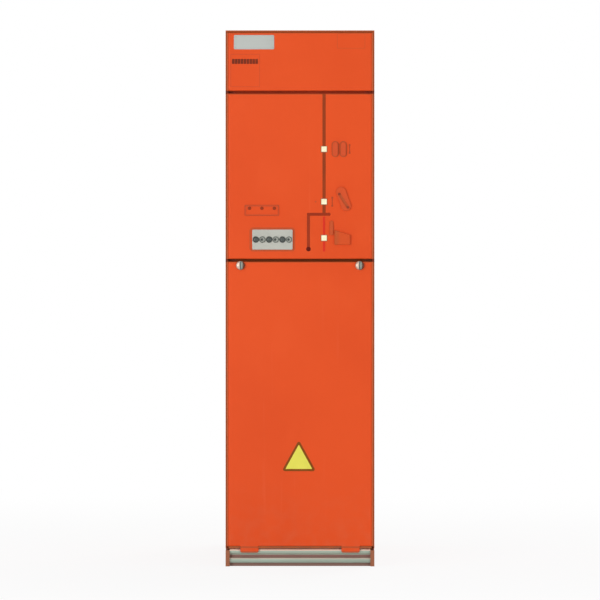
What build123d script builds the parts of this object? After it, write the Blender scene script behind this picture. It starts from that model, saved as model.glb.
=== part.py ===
import os

from build123d import *

os.makedirs("parts", exist_ok=True)

# Cubicle in millimetres: X to the right seen from the front, the front towards -Y, the floor at Z = 0
width = 371
depth = 765
height = 1336
sheet = 2
bend = 3
side_flange = 25

# Front, from the top down: header, mechanism panel, lift-off cable cover, base
header_height = 154
mechanism_height = 419
seam = 7
roof_gap = 3
panel_depth = 20
panel_gap = 5
cover_base_gap = 5.5

# Base frame with its double bead rail
bead_radius = 7.5
lower_bead_z = 15
bead_pitch = 22
bead_setback = 12.5
rail_reach = 45
base_flange = 40
base_sheet = 2.5
post_width = 10
post_drop = 4.5
floor_bolt_radius = 7
floor_bolt_inset = 120

# Tongues of the cable cover and the saddles behind them, which turn on the upper bead
tongue_inset = 52.5
tongue_width = 46
tongue_length = 16
tongue_corner = 5
hinge_clearance = 0.3

# Quarter-turn knobs of the cable cover
knob_inset = 30
knob_drop = 13
knob_radius = 11
knob_height = 9
knob_rim = 3.5
knob_edge = 1.2
knob_crown_in = 2.5
slot_width = 3
slot_depth = 3
stud_radius = 4
stud_clearance = 0.3
stud_reach = 12
receiver_radius = 9
receiver_play = 0.8

# Cover stiffener, a hat profile
stiffener_height = 60
stiffener_depth = 15
stiffener_lip = 12
stiffener_end_gap = 25

# Cross rails behind the seams
cross_rail_height = 50
cross_rail_depth = 20

# Gas tank at the back of the cable compartment
compartment_depth = 300
tank_drop = 22
tank_rear_gap = 25
tank_corner = 12
tank_skirt = 165

# Cable bushings
bushing_drop = 168
bushing_gap = 5
bushing_flange_thickness = 12
bushing_ledge = 13
bushing_taper = 12
bushing_length = 90
contact_wall = 6
contact_proud = 2
contact_depth = 40
terminal_bolt_radius = 8

# Cable clamp rail and earth bar
clamp_rail_height = 40
clamp_rail_depth = 22
clamp_rail_setback = 150
clamp_slot_length = 60
clamp_slot_width = 9
earth_bar_z = 170
earth_bar_height = 30
earth_bar_thickness = 5
earth_bar_end_gap = 45
earth_standoff = 25
earth_standoff_radius = 9
earth_hole_radius = 5.5
earth_hole_inset = 35

# Cable entries in the floor
entry_setback = 160
entry_gap = 25
entry_side_gap = 9.5
grommet_lip = 6
grommet_lip_thickness = 4
grommet_neck = 3
grommet_steps = 2
grommet_step_rise = 25
fit_clearance = 0.3

# Lifting bushes under the roof
lifting_bolt_radius = 6
lifting_bush_radius = 10.5
lifting_bush_length = 24
lifting_inset = 82.5

# Holes in the side sheets for the bolts that join neighbouring cubicles
joining_hole_radius = 5
joining_inset = 62.5
joining_low_z = 150
joining_drop = 100

# Position indicators, above the seam of the cable cover
indicator_size = 16
indicator_proud = 1
indicator_depth = 12
mimic_inset = 118.5
indicator_rises = {"upper_indicator": 277, "middle_indicator": 146, "lower_indicator": 55.5}
collar_lip = 4

# Voltage detector
detector_inset = 109.8
detector_rise = 51.5
detector_width = 101
detector_height = 50
detector_proud = 5
detector_corner = 3
port_radius = 8
port_proud = 1.5
port_pitch = 33.2
port_pair_pitch = 16.4
cap_edge = 1

# Lamp strip above the detector
lamp_strip_inset = 83.5
lamp_strip_rise = 124.5
lamp_strip_width = 84
lamp_strip_height = 25
lamp_strip_proud = 2
lamp_strip_rim = 3
lamp_pitch = 31
lamp_radius = 3.5
lamp_lift = 5

# Push buttons to the right of the upper indicator
first_button_offset = 28
button_pitch = 20
button_width = 14
button_length = 36
button_proud = 5
button_collar = 2
button_collar_proud = 1.5

# Slanted escutcheon with the two drive shafts of the three-position switch, offset from the mimic line
escutcheon_radius = 12.5
escutcheon_proud = 4
escutcheon_edge = 1
escutcheon_top_offset = 42.5
escutcheon_top_rise = 170.5
escutcheon_foot_offset = 55
escutcheon_foot_rise = 135.5
gate_width = 7
gate_depth = 2.5
gate_top_offset = 38
gate_top_rise = 165
gate_foot_offset = 59.5
gate_foot_rise = 132
shaft_radius = 3

# Padlock bracket beside the lower indicator
bracket_offset = 26
bracket_width = 39
bracket_base_rise = 39
bracket_left_height = 36
bracket_right_height = 24
bracket_proud = 6
hasp_offset = 18.5
hasp_width = 10
hasp_base_rise = 62
hasp_height = 37
hasp_proud = 3

# Rear panels: pressed ribs above, louvres below
rear_seam = 2
rib_length = 250
rib_width = 26
rib_proud = 4
rib_count = 3
roof_rib_length = 420
roof_rib_spacing = 150
louvre_length = 110
louvre_height = 11
louvre_pitch = 26
louvre_margin = 110
louvre_spacing = 150

front = -depth / 2
rear = depth / 2
half_width = width / 2
inner_half = half_width - sheet
flange_half = half_width - side_flange
panel_half = inner_half - panel_gap
side_height = height - sheet
header_seam_z = height - header_height
cover_seam_z = header_seam_z - mechanism_height
frame_y = front + panel_depth + panel_gap
inner_y = frame_y + cross_rail_depth
bead_y = front + bead_setback
upper_bead_z = lower_bead_z + bead_pitch
base_height = upper_bead_z + bead_radius
floor_top = base_height + sheet
cover_bottom = base_height + cover_base_gap
tank_y = front + compartment_depth
entry_y = front + entry_setback
entry_radius = (flange_half - entry_gap - grommet_lip - entry_side_gap) / 3
phase_pitch = 2 * entry_radius + entry_gap
bushing_z = cover_seam_z - bushing_drop
tank_bottom_z = bushing_z - tank_skirt
bushing_flange_radius = (phase_pitch - bushing_gap) / 2
grommet_top = floor_top + grommet_lip_thickness + grommet_steps * grommet_step_rise
clamp_rail_z = (grommet_top + bushing_z - bushing_flange_radius) / 2
knob_x = panel_half - knob_inset
knob_z = cover_seam_z - knob_drop
tongue_x = panel_half - tongue_inset
indicator_x = panel_half - mimic_inset
detector_x = detector_inset - panel_half
lamp_strip_x = lamp_strip_inset - panel_half
lifting_x = half_width - side_flange / 2 - sheet
lifting_y = depth / 2 - lifting_inset
joining_y = depth / 2 - joining_inset
joining_high_z = height - joining_drop
floor_bolt_x = half_width - base_flange / 2
floor_bolt_y = depth / 2 - floor_bolt_inset


def block(x0, x1, y0, y1, z0, z1):
    """Box between two opposite corners."""
    return Pos((x0 + x1) / 2, (y0 + y1) / 2, (z0 + z1) / 2) * Box(x1 - x0, y1 - y0, z1 - z0)


def disc(x, z, radius, y_near, y_far):
    """Round piece along Y between two depths."""
    return Pos(x, (y_near + y_far) / 2, z) * Rot(90, 0, 0) * Cylinder(radius, y_far - y_near)


def seen_from_front(outline, x, z, y_near, y_far):
    """Outline drawn as seen from the front, made solid between two depths."""
    plane = Plane(origin=(x, y_far, z), x_dir=(1, 0, 0), z_dir=(0, -1, 0))
    return extrude(plane * outline, y_far - y_near)


def both_sides(shape):
    return shape, mirror(shape, Plane.YZ)


def folded_panel(z0, z1, flange_depth):
    """Front sheet whose four flanges are folded back."""
    blank = block(-panel_half, panel_half, front, front + flange_depth, z0, z1)
    blank = fillet(blank.faces().sort_by(Axis.Y)[0].edges(), bend)
    return offset(blank, amount=-sheet, openings=blank.faces().sort_by(Axis.Y)[-1])


def press_rib(panel, plane, length):
    """Presses a long rib out of a sheet, from the plane of its back face."""
    raised = extrude(plane * SlotOverall(length, rib_width), sheet + rib_proud)
    hollow = extrude(plane * SlotOverall(length - 2 * rib_proud, rib_width - 2 * rib_proud), rib_proud)
    return panel + raised - hollow


def channel(rail, open_face):
    return offset(rail, amount=-base_sheet, openings=open_face)


def right_side_panel():
    """Side sheet with four inward flanges, the front strip that frames the panels, and its holes."""
    blank = block(flange_half, half_width, frame_y, rear - sheet, base_height, side_height)
    outer_edges = blank.edges().filter_by(Axis.Z).group_by(Axis.X)[-1]
    blank = fillet(outer_edges.sort_by(Axis.Y)[-1], bend)
    panel = offset(blank, amount=-sheet, openings=blank.faces().sort_by(Axis.X)[0])
    panel += block(inner_half, half_width, front, frame_y + bend, base_height, side_height)
    for y in (-lifting_y, lifting_y):
        panel -= Pos(lifting_x, y, side_height) * Cylinder(lifting_bolt_radius, 4 * sheet)
    for y in (-joining_y, joining_y):
        for z in (joining_low_z, joining_high_z):
            panel -= Pos(half_width, y, z) * Rot(0, 90, 0) * Cylinder(joining_hole_radius, 4 * sheet)
    return panel


def top_cover():
    """Roof sheet with two pressed stiffening grooves and the four lifting holes."""
    roof = block(-half_width, half_width, front, rear, side_height, height)
    for x in (-roof_rib_spacing / 2, roof_rib_spacing / 2):
        plane = Plane(origin=(x, 0, height), x_dir=(0, 1, 0), z_dir=(0, 0, -1))
        roof = press_rib(roof, plane, roof_rib_length)
    for x in (-lifting_x, lifting_x):
        for y in (-lifting_y, lifting_y):
            roof -= Pos(x, y, side_height) * Cylinder(lifting_bolt_radius, 4 * sheet)
    return roof


def lifting_bushes():
    """Hexagonal threaded bushes under the side flanges."""
    bush = extrude(RegularPolygon(lifting_bush_radius, 6, major_radius=False), lifting_bush_length)
    bush -= Cylinder(lifting_bolt_radius, 2 * lifting_bush_length)
    z = side_height - sheet - lifting_bush_length
    return [Pos(x, y, z) * bush for x in (-lifting_x, lifting_x) for y in (-lifting_y, lifting_y)]


def header_panel():
    return folded_panel(header_seam_z + seam / 2, side_height - roof_gap, panel_depth + panel_gap)


def mechanism_panel():
    """Folded panel with the windows of the three position indicators."""
    panel = folded_panel(cover_seam_z + seam / 2, header_seam_z - seam / 2, panel_depth + panel_gap)
    window = indicator_size + 2 * fit_clearance
    for rise in indicator_rises.values():
        panel -= seen_from_front(Rectangle(window, window), indicator_x, cover_seam_z + rise,
                                 front - sheet, front + 2 * sheet)
    return panel


def cover_foot():
    """Tongue in front of the bead, with the saddle block that turns on it."""
    tongue_top = cover_bottom + 2 * bend
    tongue = block(tongue_x - tongue_width / 2, tongue_x + tongue_width / 2, front, front + sheet,
                   cover_bottom - tongue_length, tongue_top)
    tongue = fillet(tongue.edges().filter_by(Axis.Y).group_by(Axis.Z)[0], tongue_corner)
    saddle = block(tongue_x - tongue_width / 2 + tongue_corner, tongue_x + tongue_width / 2 - tongue_corner,
                   front + sheet / 2, bead_y, cover_bottom - tongue_length + sheet, cover_bottom + sheet / 2)
    seat = Pos(tongue_x, bead_y, upper_bead_z) * Rot(0, 90, 0) * Cylinder(
        bead_radius + hinge_clearance, tongue_width)
    return tongue + (saddle - seat)


def cable_cover():
    """Lift-off panel with its two feet and the holes of the knobs' studs."""
    cover = folded_panel(cover_bottom, cover_seam_z - seam / 2, panel_depth)
    for foot in both_sides(cover_foot()):
        cover += foot
    for x in (-knob_x, knob_x):
        cover -= disc(x, knob_z, stud_radius + stud_clearance, front - sheet, front + 2 * sheet)
    return cover


def cover_stiffener():
    """Hat profile welded across the inside of the cable cover."""
    half = panel_half - stiffener_end_gap
    z = (cover_bottom + cover_seam_z) / 2
    y0 = front + sheet
    hat = block(-half, half, y0, y0 + stiffener_depth, z - stiffener_height / 2, z + stiffener_height / 2)
    lips = block(-half, half, y0, y0 + sheet, z - stiffener_height / 2 - stiffener_lip,
                 z + stiffener_height / 2 + stiffener_lip)
    inside = block(-half, half, y0, y0 + stiffener_depth - sheet, z - stiffener_height / 2 + sheet,
                   z + stiffener_height / 2 - sheet)
    return hat + lips - inside


def knob(x):
    """Crowned head with a slot across it, and the stud that locks the cover."""
    seat_y = front - hinge_clearance
    outline = Polyline((0, 0), (knob_radius - knob_edge, 0), (knob_radius, knob_edge),
                       (knob_radius, knob_rim), (knob_radius - knob_crown_in, knob_height - knob_edge),
                       (knob_radius - 2 * knob_crown_in, knob_height), (0, knob_height), close=True)
    head = revolve(Plane.XZ * make_face(outline), Axis.Z)
    head = Pos(x, seat_y, knob_z) * Rot(90, 0, 0) * head
    slot_y = seat_y - knob_height
    head -= block(x - slot_width / 2, x + slot_width / 2, slot_y - slot_depth, slot_y + slot_depth,
                  knob_z - knob_radius, knob_z + knob_radius)
    stud = disc(x, knob_z, stud_radius, seat_y - knob_edge, frame_y + stud_reach)
    return head + chamfer(stud.edges().sort_by(Axis.Y)[-1], knob_edge)


def cross_rail(z):
    return block(-flange_half, flange_half, frame_y, inner_y, z - cross_rail_height / 2,
                 z + cross_rail_height / 2)


def lower_cross_rail():
    rail = cross_rail(cover_seam_z)
    for x in (-knob_x, knob_x):
        rail -= disc(x, knob_z, receiver_radius, frame_y - sheet, inner_y + sheet)
    return rail


def stud_receiver(x):
    """Bush in the lower cross rail that takes a knob's stud."""
    bush = disc(x, knob_z, receiver_radius, frame_y, inner_y)
    return bush - disc(x, knob_z, stud_radius + receiver_play, frame_y - sheet, inner_y + sheet)


def gas_tank():
    """Welded tank, closed all round."""
    tank = block(-inner_half, inner_half, tank_y, rear - sheet - tank_rear_gap, tank_bottom_z,
                 header_seam_z - tank_drop)
    return fillet(tank.edges().filter_by(Axis.Z), tank_corner)


def cable_bushing(x):
    """Cone bushing with its flange on the tank, hollow at the tip for its contact."""
    root = bushing_flange_radius - bushing_ledge
    tip = root - bushing_taper
    start = bushing_flange_thickness
    end = start + bushing_length
    outline = Polyline((0, 0), (bushing_flange_radius, 0), (bushing_flange_radius, start), (root, start),
                       (tip, end), (0, end), close=True)
    body = revolve(Plane.XZ * make_face(outline), Axis.Z)
    socket = terminal_bolt_radius + contact_wall
    body -= Pos(0, 0, end - contact_depth / 2) * Cylinder(socket, contact_depth)
    return Pos(x, tank_y, bushing_z) * Rot(90, 0, 0) * body


def bushing_contact(x):
    """Threaded copper sleeve in the tip of a bushing."""
    tip_y = tank_y - bushing_flange_thickness - bushing_length
    bottom_y = tip_y + contact_depth
    sleeve = disc(x, bushing_z, terminal_bolt_radius + contact_wall - fit_clearance / 3,
                  tip_y - contact_proud, bottom_y)
    return sleeve - disc(x, bushing_z, terminal_bolt_radius, tip_y - 2 * contact_proud,
                         bottom_y - contact_wall)


def cable_clamp_rail():
    """C rail between the side panels, with a slot at each phase."""
    y0 = tank_y - clamp_rail_setback
    rail = block(-inner_half, inner_half, y0, y0 + clamp_rail_depth, clamp_rail_z - clamp_rail_height / 2,
                 clamp_rail_z + clamp_rail_height / 2)
    rail = offset(rail, amount=-sheet, openings=rail.faces().sort_by(Axis.Y)[-1])
    slot = SlotOverall(clamp_slot_length, clamp_slot_width)
    for phase in (-1, 0, 1):
        rail -= seen_from_front(slot, phase * phase_pitch, clamp_rail_z, y0 - sheet, y0 + 2 * sheet)
    return rail


def earth_bar():
    """Copper bar with a hole at each end for the earth leads."""
    half = inner_half - earth_bar_end_gap
    y1 = tank_y - earth_standoff
    bar = block(-half, half, y1 - earth_bar_thickness, y1, earth_bar_z - earth_bar_height / 2,
                earth_bar_z + earth_bar_height / 2)
    for x in (earth_hole_inset - half, half - earth_hole_inset):
        bar -= disc(x, earth_bar_z, earth_hole_radius, y1 - 2 * earth_bar_thickness,
                    y1 + earth_bar_thickness)
    return bar


def earth_standoffs():
    """Hexagonal spacers that carry the bar in front of the compartment's back."""
    x = (inner_half - earth_bar_end_gap) / 3
    hexagon = RegularPolygon(earth_standoff_radius, 6)
    return [seen_from_front(hexagon, side * x, earth_bar_z, tank_y - earth_standoff, tank_y)
            for side in (-1, 1)]


def floor_plate(y0, y1):
    """Half of the compartment's floor, cut out round the cable entries."""
    plate = block(-flange_half, flange_half, y0, y1, base_height, floor_top)
    for phase in (-1, 0, 1):
        plate -= Pos(phase * phase_pitch, entry_y, base_height) * Cylinder(entry_radius, 4 * sheet)
    return plate


def grommet(x):
    """Stepped rubber cone that is cut open to the size of its cable."""
    neck = entry_radius - fit_clearance
    lip_top = floor_top + grommet_lip_thickness
    outline = [(0, base_height - grommet_neck), (neck, base_height - grommet_neck), (neck, floor_top),
               (entry_radius + grommet_lip, floor_top), (entry_radius + grommet_lip, lip_top)]
    for step in range(grommet_steps):
        radius = entry_radius * (grommet_steps - step) / (grommet_steps + 1)
        outline.append((radius, lip_top + step * grommet_step_rise))
        outline.append((radius, lip_top + (step + 1) * grommet_step_rise))
    outline.append((0, grommet_top))
    body = revolve(Plane.XZ * make_face(Polyline(*outline, close=True)), Axis.Z)
    return Pos(x, entry_y, 0) * body


def base_front_rail():
    """Rolled rail with two round beads and a groove between them."""
    reach = rail_reach - bead_setback
    half = half_width - post_width
    outer = Pos(reach / 2, base_height / 2) * Rectangle(reach, base_height)
    inner = Pos(reach / 2 + sheet, base_height / 2) * Rectangle(reach, base_height - 2 * sheet)
    for z in (upper_bead_z, lower_bead_z):
        outer += Pos(0, z) * Circle(bead_radius)
        inner += Pos(0, z) * Circle(bead_radius - sheet)
    section = Pos(-half, bead_y, 0) * (Plane.YZ * (outer - inner))
    return extrude(section, 2 * half, dir=(1, 0, 0))


def right_base_rail():
    """Channel along the side with two floor bolt holes, and the post beside the front rail."""
    start = front + rail_reach
    rail = block(half_width - base_flange, half_width, start, rear - base_flange, 0, base_height)
    rail = channel(rail, rail.faces().sort_by(Axis.X)[0])
    rail += block(half_width - post_width, half_width, front, start + base_sheet, 0,
                  base_height - post_drop)
    for y in (-floor_bolt_y, floor_bolt_y):
        rail -= Pos(floor_bolt_x, y, 0) * Cylinder(floor_bolt_radius, 4 * base_sheet)
    return rail


def base_rear_rail():
    rail = block(-half_width, half_width, rear - base_flange, rear, 0, base_height)
    return channel(rail, rail.faces().sort_by(Axis.Y)[0])


def rear_sheet(z0, z1):
    sheet_blank = block(-inner_half, inner_half, rear - sheet, rear, z0, z1)
    return fillet(sheet_blank.edges().filter_by(Axis.Y), bend)


def rear_upper_panel():
    """Rear sheet of the tank's storey with pressed ribs."""
    z0 = tank_bottom_z + rear_seam / 2
    panel = rear_sheet(z0, side_height)
    pitch = (side_height - z0) / (rib_count + 1)
    for i in range(rib_count):
        plane = Plane(origin=(0, rear - sheet, z0 + (i + 1) * pitch), x_dir=(1, 0, 0), z_dir=(0, 1, 0))
        panel = press_rib(panel, plane, rib_length)
    return panel


def rear_lower_panel():
    """Rear sheet with two columns of louvres, each a hood open at its lower edge."""
    z1 = tank_bottom_z - rear_seam / 2
    panel = rear_sheet(base_height, z1)
    quadrant = Pos(louvre_height / 2, louvre_height / 2) * Rectangle(louvre_height, louvre_height)
    hood = extrude(Plane.YZ * (Circle(louvre_height) & quadrant), louvre_length)
    inside = extrude(Plane.YZ * (Circle(louvre_height - sheet) & quadrant), louvre_length - 2 * sheet)
    rows = int((z1 - base_height - 2 * louvre_margin) / louvre_pitch)
    first_z = (base_height + z1 - (rows - 1) * louvre_pitch - louvre_height) / 2
    for row in range(rows):
        for side in (-1, 1):
            corner = Pos(side * louvre_spacing / 2 - louvre_length / 2, rear - sheet,
                         first_z + row * louvre_pitch)
            panel += corner * hood
            panel -= corner * Pos(sheet, 0, 0) * inside
    return panel


def indicator(rise):
    """Window block of a position indicator, held by its collar behind the sheet."""
    z = cover_seam_z + rise
    window = seen_from_front(Rectangle(indicator_size, indicator_size), indicator_x, z,
                             front - indicator_proud, front + indicator_depth)
    window = chamfer(window.faces().sort_by(Axis.Y)[0].edges(), indicator_proud / 2)
    collar = indicator_size + 2 * collar_lip
    return window + seen_from_front(Rectangle(collar, collar), indicator_x, z, front + sheet,
                                    front + 2 * sheet)


def port_places():
    """Centres of the detector's round ports, in three pairs."""
    start = detector_x - port_pitch - port_pair_pitch / 2
    return [start + pair * port_pitch + place * port_pair_pitch for pair in range(3) for place in (0, 1)]


def voltage_detector():
    """Flat housing with rounded corners."""
    body = seen_from_front(RectangleRounded(detector_width, detector_height, detector_corner), detector_x,
                           cover_seam_z + detector_rise, front - detector_proud, front)
    return chamfer(body.faces().sort_by(Axis.Y)[0].edges(), cap_edge)


def detector_caps(first):
    """Every second port on the detector's face, from the first or the second on."""
    z = cover_seam_z + detector_rise
    face_y = front - detector_proud
    return [disc(x, z, port_radius, face_y - port_proud, face_y) for x in port_places()[first::2]]


def detector_lamps():
    return [chamfer(cap.faces().sort_by(Axis.Y)[0].edges(), cap_edge) for cap in detector_caps(0)]


def lamp_strip():
    """Shallow frame with three small lamps."""
    z = cover_seam_z + lamp_strip_rise
    strip = seen_from_front(Rectangle(lamp_strip_width, lamp_strip_height), lamp_strip_x, z,
                            front - lamp_strip_proud, front)
    field = Rectangle(lamp_strip_width - 2 * lamp_strip_rim, lamp_strip_height - 2 * lamp_strip_rim)
    strip -= seen_from_front(field, lamp_strip_x, z, front - 2 * lamp_strip_proud,
                             front - lamp_strip_proud / 2)
    for i in (-1, 0, 1):
        strip += disc(lamp_strip_x + i * lamp_pitch, z + lamp_lift, lamp_radius,
                      front - 1.5 * lamp_strip_proud, front - lamp_strip_proud / 2)
    return strip


def push_button(x):
    """Upright oval button in a low collar."""
    z = cover_seam_z + indicator_rises["upper_indicator"]
    oval = Rot(0, 0, 90) * SlotOverall(button_length, button_width)
    collar = Rot(0, 0, 90) * SlotOverall(button_length + 2 * button_collar, button_width + 2 * button_collar)
    cap = seen_from_front(oval, x, z, front - button_proud, front)
    cap = chamfer(cap.faces().sort_by(Axis.Y)[0].edges(), cap_edge)
    return cap + seen_from_front(collar, x, z, front - button_collar_proud, front)


def slanted_slot(top_offset, top_rise, foot_offset, foot_rise, breadth):
    """Obround between two points of the mechanism panel, in front view coordinates."""
    top = Vector(indicator_x + top_offset, cover_seam_z + top_rise)
    foot = Vector(indicator_x + foot_offset, cover_seam_z + foot_rise)
    return SlotCenterPoint((top + foot) / 2, foot, breadth)


def switch_escutcheon():
    """Slanted plate with the gate that uncovers one drive shaft at a time."""
    outline = slanted_slot(escutcheon_top_offset, escutcheon_top_rise, escutcheon_foot_offset,
                           escutcheon_foot_rise, 2 * escutcheon_radius)
    gate = slanted_slot(gate_top_offset, gate_top_rise, gate_foot_offset, gate_foot_rise, gate_width)
    plate = seen_from_front(outline, 0, 0, front - escutcheon_proud, front)
    plate = chamfer(plate.faces().sort_by(Axis.Y)[0].edges(), escutcheon_edge)
    return plate - seen_from_front(gate, 0, 0, front - 2 * escutcheon_proud,
                                   front - escutcheon_proud + gate_depth)


def drive_shafts():
    """Hexagonal shaft ends at both ends of the gate."""
    hexagon = RegularPolygon(shaft_radius, 6)
    floor_y = front - escutcheon_proud + gate_depth
    places = ((gate_top_offset, gate_top_rise), (gate_foot_offset, gate_foot_rise))
    return [seen_from_front(hexagon, indicator_x + offset_x, cover_seam_z + rise, floor_y - gate_depth,
                            floor_y) for offset_x, rise in places]


def padlock_bracket():
    """Block with a sloping top, to the right of the hasp."""
    base = cover_seam_z + bracket_base_rise
    left = indicator_x + bracket_offset
    outline = Polyline((left, base), (left + bracket_width, base),
                       (left + bracket_width, base + bracket_right_height),
                       (left, base + bracket_left_height), close=True)
    bracket = seen_from_front(make_face(outline), 0, 0, front - bracket_proud, front)
    return chamfer(bracket.faces().sort_by(Axis.Y)[0].edges(), cap_edge)


def padlock_hasp():
    """Upright tongue beside the bracket."""
    z = cover_seam_z + hasp_base_rise + hasp_height / 2
    outline = Rot(0, 0, 90) * SlotOverall(hasp_height, hasp_width)
    hasp = seen_from_front(outline, indicator_x + hasp_offset, z, front - hasp_proud, front)
    return chamfer(hasp.faces().sort_by(Axis.Y)[0].edges(), cap_edge)


def write(name, *solids):
    shape = solids[0] if len(solids) == 1 else Compound(list(solids))
    export_step(shape, f"parts/{name}.step")


side_panels = both_sides(right_side_panel())
base_rails = both_sides(right_base_rail())
phases = (-phase_pitch, 0, phase_pitch)

write("right_side_panel", side_panels[0])
write("left_side_panel", side_panels[1])
write("top_cover", top_cover())
write("lifting_bushes", *lifting_bushes())
write("header_panel", header_panel())
write("mechanism_panel", mechanism_panel())
write("cable_cover", cable_cover())
write("cover_stiffener", cover_stiffener())
write("left_knob", knob(-knob_x))
write("right_knob", knob(knob_x))
write("left_stud_receiver", stud_receiver(-knob_x))
write("right_stud_receiver", stud_receiver(knob_x))
write("upper_cross_rail", cross_rail(header_seam_z))
write("lower_cross_rail", lower_cross_rail())
write("mechanism_floor", block(-inner_half, inner_half, inner_y, tank_y, cover_seam_z - sheet, cover_seam_z))
write("gas_tank", gas_tank())
for name, x in zip(("left_bushing", "centre_bushing", "right_bushing"), phases):
    write(name, cable_bushing(x))
write("bushing_contacts", *[bushing_contact(x) for x in phases])
write("cable_clamp_rail", cable_clamp_rail())
write("earth_bar", earth_bar())
write("earth_standoffs", *earth_standoffs())
write("compartment_back", block(-inner_half, inner_half, tank_y, tank_y + sheet, floor_top, tank_bottom_z))
write("front_floor_plate", floor_plate(front + rail_reach, entry_y))
write("rear_floor_plate", floor_plate(entry_y, tank_y + sheet))
write("cable_grommets", *[grommet(x) for x in phases])
write("base_front_rail", base_front_rail())
write("base_right_rail", base_rails[0])
write("base_left_rail", base_rails[1])
write("base_rear_rail", base_rear_rail())
write("rear_upper_panel", rear_upper_panel())
write("rear_lower_panel", rear_lower_panel())
for name, rise in indicator_rises.items():
    write(name, indicator(rise))
write("voltage_detector", voltage_detector())
write("detector_lamps", *detector_lamps())
write("detector_ports", *detector_caps(1))
write("lamp_strip", lamp_strip())
first_button_x = indicator_x + first_button_offset
write("push_buttons", push_button(first_button_x), push_button(first_button_x + button_pitch))
write("switch_escutcheon", switch_escutcheon())
write("drive_shafts", *drive_shafts())
write("padlock_bracket", padlock_bracket())
write("padlock_hasp", padlock_hasp())
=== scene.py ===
import math

import bpy
from mathutils import Matrix, Vector


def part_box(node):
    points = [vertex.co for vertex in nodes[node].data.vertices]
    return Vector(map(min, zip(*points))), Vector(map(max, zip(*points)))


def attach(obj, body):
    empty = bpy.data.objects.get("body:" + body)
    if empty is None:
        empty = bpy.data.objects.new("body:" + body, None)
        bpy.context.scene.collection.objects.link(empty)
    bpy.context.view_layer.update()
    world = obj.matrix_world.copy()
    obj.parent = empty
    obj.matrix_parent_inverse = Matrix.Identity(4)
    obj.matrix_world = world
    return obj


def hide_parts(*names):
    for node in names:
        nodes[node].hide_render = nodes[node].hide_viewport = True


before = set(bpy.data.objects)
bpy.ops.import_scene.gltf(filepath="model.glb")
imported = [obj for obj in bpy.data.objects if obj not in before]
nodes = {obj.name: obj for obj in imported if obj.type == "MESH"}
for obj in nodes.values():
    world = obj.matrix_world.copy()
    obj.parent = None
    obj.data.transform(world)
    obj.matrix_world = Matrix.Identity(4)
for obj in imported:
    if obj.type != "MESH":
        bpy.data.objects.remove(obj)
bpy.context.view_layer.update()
mm = 0.001
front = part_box("mechanism_panel")[0].y / mm      # outer face of the front sheets, mm
print("frame loaded,", len(nodes), "pieces")


def tone(red, green, blue):
    # screen values 0 to 255 as the linear colour a shader takes
    def linear(value):
        value /= 255
        return value / 12.92 if value <= 0.04045 else ((value + 0.055) / 1.055) ** 2.4
    return (linear(red), linear(green), linear(blue), 1.0)


def scaled(colour, factor, lift=0.0):
    # a lighter or darker colour
    return tuple(min(1, factor * part + lift) for part in colour[:3]) + (1.0,)


class Wire:
    # a socket that adds its own Math nodes when it is used in a sum
    def __init__(self, board, socket):
        self.board = board
        self.socket = socket

    def maths(self, operation, first, second=0.0):
        return self.board.node("ShaderNodeMath", {"operation": operation}, {0: first, 1: second})

    def __add__(self, other):
        return self.maths("ADD", self, other)

    __radd__ = __add__

    def __sub__(self, other):
        return self.maths("SUBTRACT", self, other)

    def __rsub__(self, other):
        return self.maths("SUBTRACT", other, self)

    def __mul__(self, other):
        return self.maths("MULTIPLY", self, other)

    __rmul__ = __mul__

    def __truediv__(self, other):
        return self.maths("DIVIDE", self, other)

    def __pow__(self, other):
        return self.maths("POWER", self, other)

    def __abs__(self):
        return self.maths("ABSOLUTE", self)

    def least(self, other):
        return self.maths("MINIMUM", self, other)

    def most(self, other):
        return self.maths("MAXIMUM", self, other)

    def step(self, low, high):
        # 0 at low, 1 at high and soft between
        return self.board.node("ShaderNodeMapRange", {"interpolation_type": "SMOOTHSTEP"},
                               {0: self, 1: low, 2: high})

    def stepFrom(self, start, fade):
        # the same, with both ends given by their distance from start
        return self.step(start + fade[0], start + fade[1])


class Board:
    # a node tree with one way to add a node
    def __init__(self, tree):
        self.tree = tree

    def node(self, kind, settings=None, sockets=None, output=0):
        made = self.tree.nodes.new(kind)
        for name, value in (settings or {}).items():
            setattr(made, name, value)
        for name, value in (sockets or {}).items():
            self.join(value, made.inputs[name])
        return Wire(self, made.outputs[output]) if made.outputs else made

    def join(self, value, socket):
        if isinstance(value, Wire):
            self.tree.links.new(value.socket, socket)
        else:
            socket.default_value = value

    def blend(self, factor, first, second):
        return self.node("ShaderNodeMix", {"data_type": "RGBA"}, {0: factor, 6: first, 7: second}, 2)


class Finish(Board):
    # one material with its place on the object ready to use
    def __init__(self, name, fixed):
        self.material = bpy.data.materials.new(name)
        self.material.use_nodes = True
        super().__init__(self.material.node_tree)
        self.shader = self.tree.nodes["Principled BSDF"]
        for socket, value in fixed.items():
            self.shader.inputs[socket].default_value = value
        self.place = self.node("ShaderNodeTexCoord", output="Object")
        split = self.node("ShaderNodeSeparateXYZ", {}, {0: self.place}).socket.node
        self.x, self.y, self.z = (Wire(self, axis) for axis in split.outputs)

    def grain(self, scale, detail=2.0, stretch=None):
        spot = self.node("ShaderNodeMapping", {}, {0: self.place, 3: stretch}) if stretch else self.place
        return self.node("ShaderNodeTexNoise", {}, {"Vector": spot, "Scale": scale, "Detail": detail})

    def cells(self, scale):
        # one shade of grey for each cell
        tint = self.node("ShaderNodeTexVoronoi", {}, {"Vector": self.place, "Scale": scale}, "Color")
        return self.node("ShaderNodeRGBToBW", {}, {0: tint})

    def wear(self, socket, value):
        self.join(value, self.shader.inputs[socket])

    def done(self, colour, rough, height, strength, distance):
        self.wear("Base Color", colour)
        self.wear("Roughness", rough)
        self.wear("Normal", self.node("ShaderNodeBump", {},
                                      {"Strength": strength, "Distance": distance, "Height": height}))
        return self.material


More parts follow.
